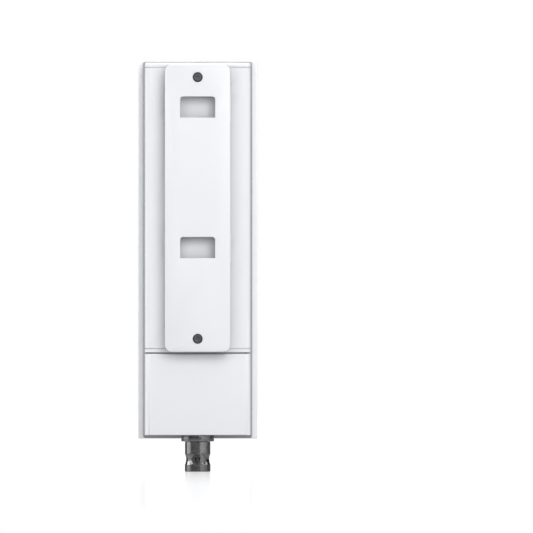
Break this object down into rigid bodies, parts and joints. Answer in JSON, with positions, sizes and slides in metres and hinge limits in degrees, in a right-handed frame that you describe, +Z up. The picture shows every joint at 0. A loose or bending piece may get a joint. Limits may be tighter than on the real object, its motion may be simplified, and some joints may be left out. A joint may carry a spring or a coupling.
{
  "type": "outdoor wireless bridge",
  "caption": "Slim upright outdoor radio unit with a back bracket for wall or pole, a slide-off service cover and a bayonet plug under its lower end.",
  "frame": {"origin": "centre of the bracket's back face, which meets the wall or the pole", "axes": "+X across the unit, to the right as seen from behind; +Y from the bracket towards the radiating front cover; +Z up"},
  "size_m": [0.068, 0.042, 0.2338],
  "materials": {
    "shell_white": "fine satin moulding",
    "bracket_white": "satin moulding",
    "seal_grey": "matt",
    "screw_dark": "black oxide",
    "brass": "bright",
    "steel": "zinc plated",
    "board_green": "solder mask",
    "tin": "tinned",
    "chip_black": "moulded",
    "pad_blue": "soft",
    "aluminium": "mill finish",
    "gold": "gold plated",
    "ferrite": "rough",
    "capacitor_sleeve": "sleeved",
    "switch_grey": "moulded",
    "button_red": "moulded",
    "led_lens": "clear",
    "rubber_black": "matt",
    "laminate_tan": "laminate",
    "copper": "copper",
    "nylon": "moulded",
    "plug_gunmetal": "black nickel, polished",
    "ptfe": "turned",
    "silicone_red": "soft",
    "cable_tan": "extruded"
  },
  "bodies": {
    "housing": {"front_cover": "shell_white", "housing_gasket": "seal_grey", "rear_housing": "shell_white", "bay_seal": "rubber_black", "seam_strip": "seal_grey", "bracket_plate": "bracket_white", "bracket_screws": "screw_dark", "bracket_inserts": "brass", "case_screws": "steel", "main_board": "board_green", "board_screws": "steel", "cpu_shield": "tin", "radio_shield": "tin", "processor": "chip_black", "memory_chips": "chip_black", "radio_chip": "chip_black", "thermal_pad": "pad_blue", "heat_spreader": "aluminium", "ethernet_transformer": "chip_black", "ethernet_jack": "tin", "jack_contacts": "gold", "power_inductor": "ferrite", "capacitors": "capacitor_sleeve", "crystal": "tin", "reset_switch": "switch_grey", "status_leds": "led_lens", "ground_screw": "brass", "cable_grommet": "rubber_black", "vent_plug": "rubber_black", "reflector_plate": "aluminium", "antenna_board": "laminate_tan", "antenna_patches": "copper", "antenna_spacers": "nylon", "antenna_screws": "steel", "feed_pins": "gold", "plug_body": "plug_gunmetal", "plug_seal": "rubber_black", "plug_insulator": "ptfe", "centre_contact": "gold", "outer_contact": "plug_gunmetal", "spring_washer": "steel", "retaining_ring": "steel", "jack_gasket": "silicone_red", "lock_washer": "steel", "hex_nut": "steel", "coax_pigtail": "cable_tan", "pigtail_plug": "gold", "board_rf_socket": "gold"},
    "cover": {"service_cover": "shell_white"},
    "nut": {"coupling_nut": "plug_gunmetal"},
    "button": {"reset_button": "button_red"}
  },
  "joints": [
    {"name": "nut_spin", "type": "hinge", "parent": "housing", "child": "nut", "pos_m": [0, 0.02, -0.1415], "axis": [0, 0, 1], "continuous": true},
    {"name": "cover_slide", "type": "slide", "parent": "housing", "child": "cover", "axis": [0, 0, -1], "range_m": [0, 0.05]},
    {"name": "reset_press", "type": "slide", "parent": "housing", "child": "button", "axis": [0, 1, 0], "range_m": [0, 0.0006], "stiffness_N_per_m": 1500}
  ]
}
